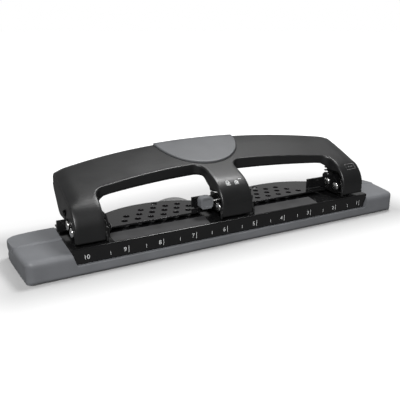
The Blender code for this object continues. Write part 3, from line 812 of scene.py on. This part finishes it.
def base_moulding():
    """Both end caps, the lip under the ruler and the rail over the chip tray."""
    for sign, name in ENDS:
        piece(f"end_cap_{name}", cap_shell(sign, name), GREY, "base",
              ("base_housing",))
    lip = [(0.9, 0.8, 0), (0.0, 2.0, 1.0), (0.12, 7.5, 0.5), (5.0, 7.5, 0.5), (5.0, 0.8, 0)]
    rail = [(48.9, 11.5, 0), (48.9, 15.0, 0.5), (56.0, 15.0, 2.4), (56.0, 11.5, 0.4)]
    for name, corners, half in (("front_lip", lip, HALF_RULER), ("rear_rail", rail, HALF_CHANNEL)):
        half += 0.9 * MM
        piece(name, prism(rounded_mm(corners), "X", -half, half), GREY, "base")

# --- Sheet metal -------------------------------
def channel():
    """Bent sheet: ruler face, die plate, step that stops the paper, rear shelf."""
    outer = [(2.2, 7.8, 0), (2.2, 18.5, 1.1), (33.2, 18.5, 0.3), (33.2, 21.0, 0.6), (46.0, 21.0, 0)]
    inner = [(46.0, 19.8, 0), (34.4, 19.8, 0.4), (34.4, 17.3, 0.6), (3.4, 17.3, 0.5), (3.4, 7.8, 0)]
    bm = prism(rounded_mm(outer) + rounded_mm(inner), "X", -HALF_CHANNEL, HALF_CHANNEL)
    for side in SIDES:
        _, _, (x, y, _) = node_box(f"die_{side}")
        bm = cut(bm, prism(circle((x, y), DIE_HOLE, 40), "Z", 15 * MM, 19 * MM))
    for sign, _ in ENDS:
        near, far = sorted((sign * 117.5 * MM, sign * 122.4 * MM))
        bm = cut(bm, box((near, at_y(33.9), 15 * MM), (far, at_y(60), 25 * MM)))
        corner = [(HALF_RULER, LIP_Z), (130 * MM, LIP_Z), (130 * MM, PLATE_Z),
                  (HALF_CHANNEL, PLATE_Z)]
        bm = cut(bm, prism([(sign * a, b) for a, b in corner], "Y", at_y(-2), at_y(60)))
    soften(piece("ruler_channel", bm, STEEL_BLACK, "base", ("base_channel",)),
           0.25 * MM)
    # A black sheet under each end of the channel fills the gap beside the cap where only shade
    # shows: a painted shadow line.
    for sign, name in ENDS:
        near, far, top = HALF_RULER - 5 * MM, 0.3 * MM, 17.2 * MM
        filler_outline = [(near, LIP_Z), (HALF_RULER + far, LIP_Z), (HALF_CHANNEL + far, top), (near, top)]
        bm = prism([(sign * a, b) for a, b in filler_outline], "Y", at_y(3.5), at_y(46))
        piece(f"shadow_gap_filler_{name}", bm, STEEL_BLACK, "base")


def paper_rest(name, low_x, high_x):
    """Lighter satin strip on the die plate between two heads: a painted reflection of the bright
    backdrop, with a slanted end like the reflection's edge.
    """
    front, back = at_y(3.4), at_y(18.8)
    outline = [(low_x, front), (high_x - 3.0 * MM, front), (high_x, back), (low_x, back)]
    bm = prism(outline, "Z", PLATE_Z - 0.1 * MM, PLATE_Z + 0.08 * MM)
    piece(name, bm, PAINTED_REFLECTION_STEEL, "base")


def guide_plate(name, first_x, rows):
    """Perforated plate with a bowed back edge. first_x is the first hole's place in mm, and
    rows holds the holes left out and the holes made in each row, from the front."""
    low, high, (middle, _, _) = node_box(name)
    half = (high.x - low.x) / 2
    outline = [(low.x, low.y), (high.x, low.y)]
    steps = 40
    for i in range(steps + 1):
        t = -1 + 2 * i / steps
        outline.append((middle - half * t, at_y(43.5 + 12.0 * (1 - abs(t) ** 2.2))))
    holes = bmesh.new()
    for row, (skipped, count) in enumerate(rows):
        y = at_y(26.2 + 8.0 * row)
        for i in range(skipped, skipped + count):
            x = (first_x + 4.2 * row + 10.0 * i) * MM
            prism(circle((x, y), 2.3 * MM, 28), "Z", 15 * MM, 30 * MM, holes)
    bm = cut(prism(outline, "Z", high.z - SHEET, high.z), holes)
    soften(piece(f"perforated_{name}", bm, STEEL_BLACK, "base", (name,)), 0.2 * MM)


def bracket(side):
    """Bent sheet bracket: a foot above the paper, two ears, and the wings behind them."""
    x = {"left": -HEAD_X, "centre": 0.0, "right": HEAD_X}[side]
    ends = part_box(f"bracket_{side}")
    ear_out = 11.0 * MM
    inner = ear_out - SHEET
    low_z = GUIDE_TOP - SHEET
    wing_top = 30.9 * MM
    bm = box((x - ear_out, at_y(8.8), low_z), (x + ear_out, at_y(46), GUIDE_TOP))
    ear = outline_mm([(8.0, low_z / MM), (27.2, low_z / MM)])
    ear += rounded_mm([(27.2, 30.0, 0), (27.2, 34.4, 2.0), (20.0, 34.4, 0)])
    ear += outline_mm([(13.5, 34.4)]) + arc((at_y(10.0), 27.0 * MM), 3 * MM, 125, 180, 10)
    for sign, end in ((-1, ends[0].x), (1, ends[1].x)):
        bm = join(bm, prism(ear, "X", *sorted((x + sign * inner, x + sign * ear_out))))
        if abs(end - x) < ear_out + 1 * MM:     # no wing on this side
            continue
        wing_low, wing_high = sorted((x + sign * inner, end))
        bm = join(bm, box((wing_low, at_y(26), GUIDE_TOP + 0.3 * MM),
                          (wing_high, at_y(27.2), wing_top)))
    bm = cut(bm, prism(circle((x, PUNCH_Y), PUNCH_RADIUS + 0.3 * MM, 40), "Z", 15 * MM, 24 * MM))
    if side == "centre":                        # the lock knob's stem goes through the wing
        bm = cut(bm, box((x - 26 * MM, at_y(25), 26.9 * MM), (x - 18.6 * MM, at_y(28), 30.3 * MM)))
    slot = arc((PUNCH_Y, 28.8 * MM), 1.8 * MM, 0, 180, 10)
    slot += arc((PUNCH_Y, 25.0 * MM), 1.8 * MM, 180, 360, 10)
    bm = cut(bm, prism(slot, "X", x - 15 * MM, x + 15 * MM))
    soften(piece(f"head_bracket_{side}", bm, STEEL_BLACK, "base",
                 (f"bracket_{side}",)), 0.25 * MM)

# --- Turned and small parts --------------------
def headed_pin(node, body):
    """Domed plated pin with a clip groove, along X."""
    low, high, (middle, y, z) = node_box(node)
    x = min((-HEAD_X, 0.0, HEAD_X), key=lambda place: abs(place - middle))
    head = x - low.x - 1.6 * MM
    groove, tip = 11.3 * MM, high.x - x
    radius, shank, neck = (high.z - low.z) / 2, 1.5 * MM, 1.15 * MM
    profile = [(radius * sin(radians(a)), -head - 0.3 * MM - 1.3 * MM * cos(radians(a)))
               for a in range(0, 91, 9)]
    profile += [(radius, -head - 0.05 * MM), (radius - 0.1 * MM, -head), (shank, -head),
                (shank, groove), (neck, groove), (neck, groove + 1.0 * MM),
                (1.45 * MM, groove + 1.0 * MM), (shank, groove + 1.1 * MM),
                (shank, tip - 0.2 * MM), (1.3 * MM, tip), (0, tip)]
    bm = turned(profile, 40, "X", (x, y, z))
    piece(f"{node}_turned", bm, PLATED, body, (node,))


def pin_clip(node, body):
    """Thin spring ring, open at the bottom, in a pin's groove."""
    low, high, (_, y, z) = node_box(node)
    outer, inner = (high.y - low.y) / 2, 1.35 * MM
    section = [(outer, low.x + 0.1 * MM), (outer, high.x - 0.1 * MM), (outer - 0.1 * MM, high.x),
               (inner, high.x), (inner, low.x), (outer - 0.1 * MM, low.x)]
    bm = turned(section, 36, "X", (0, y, z), closed=True)
    bm = cut(bm, box((low.x - MM, y - 0.7 * MM, z - 5 * MM), (high.x + MM, y + 0.7 * MM, z)))
    piece(f"{node}_snap", bm, STEEL_BLACK, body, (node,))


def build_punch(side):
    """Punch pin with a hollow-ground end."""
    low, high, (x, _, _) = node_box(f"punch_{side}")
    r = PUNCH_RADIUS
    profile = [(0, low.z + 0.9 * MM), (r - 0.9 * MM, low.z + 0.4 * MM), (r - 0.15 * MM, low.z),
               (r, low.z + 0.1 * MM), (r, high.z - 0.6 * MM), (r - 0.6 * MM, high.z),
               (0, high.z)]
    bm = turned(profile, 48, "Z", (x, PUNCH_Y, 0))
    piece(f"punch_pin_{side}", bm, TOOL, f"punch_{side}", (f"punch_{side}",))


def build_die(side):
    low, high, (x, _, _) = node_box(f"die_{side}")
    outer, bore = (high.x - low.x) / 2, PUNCH_RADIUS + 0.05 * MM
    section = [(outer, low.z), (outer, high.z - 0.2 * MM), (outer - 0.2 * MM, high.z),
               (bore, high.z), (bore, low.z)]
    bm = turned(section, 48, "Z", (x, PUNCH_Y, 0), closed=True)
    piece(f"die_bush_{side}", bm, TOOL, "base", (f"die_{side}",))


def build_spring(side):
    """Compression spring with closed end coils. The real one shortens as the handle comes down;
    this mesh has one length.
    """
    low, high, (x, y, _) = node_box(f"return_spring_{side}")
    coil_wire = 0.5 * MM
    radius = (high.x - low.x) / 2 - coil_wire
    bm = bmesh.new()
    turns, per_turn, sides = 8.0, 28, 10
    total = int(turns * per_turn)
    rings = []
    for i in range(total + 1):
        t = i / total
        angle = 2 * pi * turns * t
        first, last = min(t / 0.09, 1), max(0, (t - 0.91) / 0.09)     # the flatter end coils
        between = clamp((t - 0.09) / 0.82)
        rise = 0.05 * first + 0.9 * between + 0.05 * last
        height = low.z + coil_wire + (high.z - low.z - 2 * coil_wire) * rise
        out = Vector((cos(angle), sin(angle), 0))
        centre = Vector((x, y, height)) + out * radius
        rings.append([bm.verts.new(centre + out * a + Vector((0, 0, b)))
                      for a, b in circle((0, 0), coil_wire, sides)])
    grid_faces(bm, [r + [r[0]] for r in rings])
    bm.faces.new(rings[0])
    bm.faces.new(reversed(rings[-1]))
    obj = piece(f"spring_coil_{side}", bm, WIRE, "base",
                (f"return_spring_{side}",))
    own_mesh(obj)


def build_rivet(node):
    low, high, (x, y, _) = node_box(node)
    radius, shank, tail = (high.x - low.x) / 2, 1.5 * MM, 2.5 * MM
    head_z = GUIDE_TOP + 0.1 * MM
    profile = [(0, low.z), (2.2 * MM, low.z), (tail, low.z + 0.3 * MM), (tail, low.z + 1.2 * MM),
               (shank, low.z + 1.3 * MM), (shank, head_z)]
    profile += [(radius * cos(radians(a)), head_z + (high.z - head_z) * sin(radians(a)))
                for a in range(0, 90, 12)]
    profile += [(0, high.z)]
    bm = turned(profile, 32, "Z", (x, y, 0))
    piece(f"{node}_domed", bm, PLATED, "base", (node,))


def build_foot(node):
    low, high, (x, y, _) = node_box(node)
    radius = (high.x - low.x) / 2
    profile = [(0, 0.4 * MM), (radius - 1.6 * MM, 0.4 * MM), (radius - 1.2 * MM, 0),
               (radius - 0.5 * MM, 0), (radius, 0.5 * MM), (radius, high.z), (0, high.z)]
    bm = turned(profile, 40, "Z", (x, y, 0))
    piece(f"{node}_pad", bm, FOOT, "base", (node,))


def build_screw(node):
    """Screw seen from underneath, with a cross recess."""
    low, high, (x, y, _) = node_box(node)
    radius = (high.x - low.x) / 2
    profile = [(0, low.z), (radius - 0.2 * MM, low.z), (radius, low.z + 0.2 * MM),
               (radius, high.z), (0, high.z)]
    bm = turned(profile, 28, "Z", (x, y, 0))
    for wide, deep in ((1.0 * MM, 0.18 * MM), (0.18 * MM, 1.0 * MM)):
        bm = cut(bm, box((x - wide, y - deep, low.z - MM), (x + wide, y + deep, low.z + 0.6 * MM)))
    piece(f"{node}_cross", bm, PLATED, "base", (node,))


def build_knob():
    """Lock knob: a rounded block with a dished face, on a stem."""
    low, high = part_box("lock_knob")
    radius = 2.4 * MM

    def outline(inset):
        points = []
        for x, z, start in ((high.x - radius, low.z + radius, -90),
                            (high.x - radius, high.z - radius, 0),
                            (low.x + radius, high.z - radius, 90),
                            (low.x + radius, low.z + radius, 180)):
            points += arc((x, z), radius - inset, start, start + 90, 8)
        return points

    bm = prism(outline(0.0), "Y", low.y, at_y(20.2))
    bm = join(bm, box((-22.0 * MM, at_y(20), 27.2 * MM), (-19.0 * MM, high.y, 30.0 * MM)))
    bm = cut(bm, prism(outline(1.5 * MM), "Y", low.y - MM, low.y + 0.6 * MM))
    soften(piece("lock_button", bm, GREY, "lock", ("lock_knob",)), 0.5 * MM, 3)

# --- Print -------------------------------------
def glyph(text, size, place):
    """A printed character as a thin mesh, centred on place's origin."""
    curve = bpy.data.curves.new("glyph", "FONT")
    curve.body = text
    curve.size = size
    curve.extrude = 0.02 * MM
    curve.align_x = "CENTER"
    curve.align_y = "CENTER"
    obj = new_object("glyph", curve)
    depsgraph = bpy.context.evaluated_depsgraph_get()
    bm = bmesh.new()
    bm.from_mesh(obj.evaluated_get(depsgraph).to_mesh())
    bmesh.ops.transform(bm, verts=bm.verts, matrix=place)
    bpy.data.objects.remove(obj, do_unlink=True)
    bpy.data.curves.remove(curve)
    return bm


def add(target, source):
    """Move a bmesh's contents into another one."""
    mesh = to_mesh(source, "part")
    target.from_mesh(mesh)
    bpy.data.meshes.remove(mesh)


def ruler_marks():
    """Inches from the right end to the left: numbers, inch ticks and half-inch ticks."""
    inch = 25.4 * MM
    upright = Matrix.Rotation(pi / 2, 4, "X")
    face, ink = FLANGE_Y - 0.01 * MM, 0.02 * MM
    bm = bmesh.new()
    for number in range(1, 11):
        tick_x = (5.5 - number) * inch + 2.6 * MM
        number_x = tick_x - 2.6 * MM if number < 10 else tick_x - 3.4 * MM
        place = Matrix.Translation((number_x, face, 12.0 * MM)) @ upright
        add(bm, glyph(str(number), 4.2 * MM, place))
        if number == 10:
            break
        for x, half, low_z, high_z in ((tick_x, 0.16 * MM, 9.6 * MM, 14.2 * MM),
                                       (tick_x - inch / 2, 0.14 * MM, 10.2 * MM, 12.8 * MM)):
            add(bm, box((x - half, face - ink, low_z), (x + half, face + ink, high_z)))
    piece("ruler_print", bm, INK, "base")


def on_leg(x, y):
    """A frame that lies on the handle's skin, its local Y up the slope."""
    point, up = on_roof(x, at_y(y))
    out = Vector((1, 0, 0)).cross(up)
    turn = Matrix((Vector((1, 0, 0)), up, out)).transposed().to_4x4()
    return Matrix.Translation(point + out * 0.03 * MM) @ turn


def stroke(bm, points, width, place):
    """A printed line along flat points."""
    path = [Vector(p) for p in points]
    left, right = [], []
    for i, p in enumerate(path):
        along = heading(path, i)
        side = Vector((-along.y, along.x)) * width / 2
        left.append(bm.verts.new(place @ Vector((*(p + side), 0))))
        right.append(bm.verts.new(place @ Vector((*(p - side), 0))))
    grid_faces(bm, [left, right])


def padlock(bm, place, tilt):
    """A generic padlock: a block with a slot and a shackle that stands open by tilt."""
    block = [(-1.5, -1.9), (1.5, -1.9), (1.5, 0.1), (-1.5, 0.1), (-1.5, -1.9), (1.5, -1.9)]
    stroke(bm, [(a * MM, b * MM) for a, b in block], 0.5 * MM, place)
    stroke(bm, [(-0.9 * MM, -0.9 * MM), (0.9 * MM, -0.9 * MM)], 0.7 * MM, place)
    hinge = Vector((-1.1 * MM, 0.2 * MM))
    turn = Matrix.Rotation(radians(tilt), 2)
    shackle = [Vector(p) for p in arc((0.0, 0.9 * MM), 1.1 * MM, 180, 0, 10)]
    shackle = [hinge] + shackle + [Vector((1.1 * MM, 0.2 * MM))]
    stroke(bm, [hinge + turn @ (p - hinge) for p in shackle], 0.45 * MM, place)


def leg_marks():
    """Open and shut padlocks beside the lock knob, and a plain frame on the right leg."""
    bm = bmesh.new()
    padlock(bm, on_leg(-3.6 * MM, 13.9), 0)
    padlock(bm, on_leg(3.6 * MM, 13.9), -35)
    stroke(bm, [(-1.2 * MM, 2.2 * MM), (0, 2.9 * MM), (1.4 * MM, 2.3 * MM)], 0.4 * MM,
           on_leg(7.2 * MM, 13.7))
    piece("lock_print", bm, INK, "handle")
    bm = bmesh.new()
    half_wide, half_high, corner = 4.6 * MM, 2.6 * MM, 1.0 * MM
    line = rounded([(-half_wide, -half_high, corner), (half_wide, -half_high, corner),
                    (half_wide, half_high, corner), (-half_wide, half_high, corner)])
    place = on_leg(112.5 * MM, 12.0)
    stroke(bm, line + line[:2], 0.3 * MM, place)
    for k in range(3):
        stroke(bm, [((-2.0 + 1.7 * k) * MM, -0.6 * MM), ((-0.9 + 1.7 * k) * MM, 0.6 * MM)],
               0.35 * MM, place)
    piece("sheet_print", bm, GREY_INK, "handle")

# --- Stage -------------------------------------
FLOOR_SEEN = (0.5, 0.5, 0.5)
FLOOR_REFLECTED = (0.15, 0.15, 0.15)
# glow by distance from the object: weak near it, so the floor paints a shadow round the object
FLOOR_GLOW_AND_SHADOW = ((0.0, 0.04), (0.03, 0.38), (0.3, 1.0))    # distance from the object, strength
SKY_LOW = 0.42
SKY_HIGH = 0.22
SKY_FRONT = 0.2


def camera():
    data = bpy.data.cameras.new("camera")
    data.lens = 48.08
    data.sensor_width = 36.0
    obj = new_object("camera", data)
    obj.location = (-195.39 * MM, at_y(-310.37), 158.63 * MM)
    obj.rotation_euler = Euler((radians(71.09), 0.0, radians(-27.49)))
    bpy.context.scene.camera = obj


def by_ray(tree, seen, otherwise, output):
    """What the camera sees directly, and what lights and reflections get instead."""
    to_camera = add_node(tree, "LightPath", {}).outputs["Is Camera Ray"]
    mix = add_node(tree, "MixShader", {"Fac": to_camera, 1: otherwise, 2: seen})
    wire(tree, output, {"Surface": mix.outputs["Shader"]})


def floor():
    """White paper: the camera sees it glow, weakly near the object's footprint, which paints a
    shadow round it; the lamps' shadows show on it too.
    """
    bm = bmesh.new()
    bmesh.ops.create_circle(bm, cap_ends=True, segments=64, radius=6.0)
    obj = new_object("floor", to_mesh(bm, "floor"))
    obj.location = (0, 0, -0.05 * MM)
    mat, tree, shader = new_material("paper_white", FLOOR_SEEN, 0.9)
    vary_colour(tree, shader, noise(tree, 3.0, 2.0), FLOOR_SEEN, 0.01)
    distance = add_node(tree, "TexCoord", {}).outputs["Object"]
    for operation, operand in (("ABSOLUTE", {}), ("SUBTRACT", {1: (CAD_HIGH.x, CAD_HIGH.y, 0.0)}),
                               ("MAXIMUM", {1: (0.0, 0.0, 0.0)}), ("LENGTH", {})):
        step = tree.nodes.new("ShaderNodeVectorMath")
        step.operation = operation
        wire(tree, step, {0: distance, **operand})
        distance = step.outputs["Value" if operation == "LENGTH" else "Vector"]
    # weak glow near the footprint: a painted shadow round the object
    glow = ramp(tree, distance, [(reach, (strength,) * 3) for reach, strength in FLOOR_GLOW_AND_SHADOW])
    wire(tree, shader, {"Specular IOR Level": 0.0, "Emission Color": (1.0, 1.0, 1.0, 1.0),
                        "Emission Strength": glow})
    dull = add_node(tree, "BsdfDiffuse", {"Color": (*FLOOR_REFLECTED, 1.0)})
    by_ray(tree, shader.outputs["BSDF"], dull.outputs["BSDF"], tree.nodes["Material Output"])
    obj.data.materials.append(mat)


def area_light(name, location, target, size, power):
    data = bpy.data.lights.new(name, "AREA")
    data.shape = "RECTANGLE"
    data.size = data.size_y = size
    data.energy = power
    obj = new_object(name, data)
    obj.location = location
    obj.rotation_euler = (Vector(target) - Vector(location)).to_track_quat("-Z", "Y").to_euler()


def sky(tree):
    """Light around the object: a bright band low down at the back, dark overhead."""
    direction = add_node(tree, "TexCoord", {}).outputs["Generated"]
    axes = add_node(tree, "SeparateXYZ", {"Vector": direction}).outputs
    height = ramp(tree, axes["Z"], ((0.5, (SKY_LOW,) * 3), (0.85, (SKY_HIGH,) * 3)))
    back = map_range(tree, axes["Y"], -0.6, 0.5, SKY_FRONT, 1.0)
    return add_node(tree, "Background", {"Color": height, "Strength": back}).outputs["Background"]


def lights():
    world = bpy.data.worlds.new("studio")
    bpy.context.scene.world = world
    world.use_nodes = True
    tree = world.node_tree
    seen = wire(tree, tree.nodes["Background"], {"Color": (1.0, 1.0, 1.0, 1.0), "Strength": 1.0})
    by_ray(tree, seen.outputs["Background"], sky(tree), tree.nodes["World Output"])
    area_light("key", (-0.5, -0.75, 0.72), (0, 0, 0.02), 0.45, 11.8)
    area_light("glint", (0.32, 0.15, 0.85), (0, 0, 0.05), 0.26, 5.0)


def recolour(node, mat):
    """Show a CAD node as it is, in a material of this script."""
    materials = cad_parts[node].data.materials
    materials.clear()
    materials.append(mat)


def build():
    handle_skin()
    handle_inlay()
    inlay_joint()
    base_moulding()
    channel()
    # painted reflection strips on the die plate
    paper_rest("paper_rest_left", -95.5 * MM, -20.7 * MM)
    paper_rest("paper_rest_right", 14.5 * MM, 76.5 * MM)
    guide_plate("guide_plate_left", -80.2, ((0, 6), (0, 6), (1, 4), (2, 1)))
    guide_plate("guide_plate_right", 21.5, ((0, 6), (0, 5), (0, 4), (0, 2)))
    for side in SIDES:
        bracket(side)
        headed_pin(f"cross_pin_{side}", f"punch_{side}")
        headed_pin(f"fulcrum_pin_{side}", "base")
        pin_clip(f"cross_pin_clip_{side}", f"punch_{side}")
        pin_clip(f"fulcrum_clip_{side}", "base")
        build_punch(side)
        build_die(side)
        build_spring(side)
        for number in (1, 2):
            build_rivet(f"bracket_rivet_{side}_{number}")
        recolour(f"lever_{side}", STEEL_BLACK)
    for _, side in ENDS:
        for row in ("front", "rear"):
            build_foot(f"foot_{side}_{row}")
            build_screw(f"base_screw_{side}_{row}")
    build_knob()
    recolour("chip_tray", TRAY_GREY)
    recolour("lock_bar", STEEL_BLACK)
    ruler_marks()
    leg_marks()
    camera()
    floor()
    lights()
    bpy.context.scene.view_settings.view_transform = "Standard"


build()
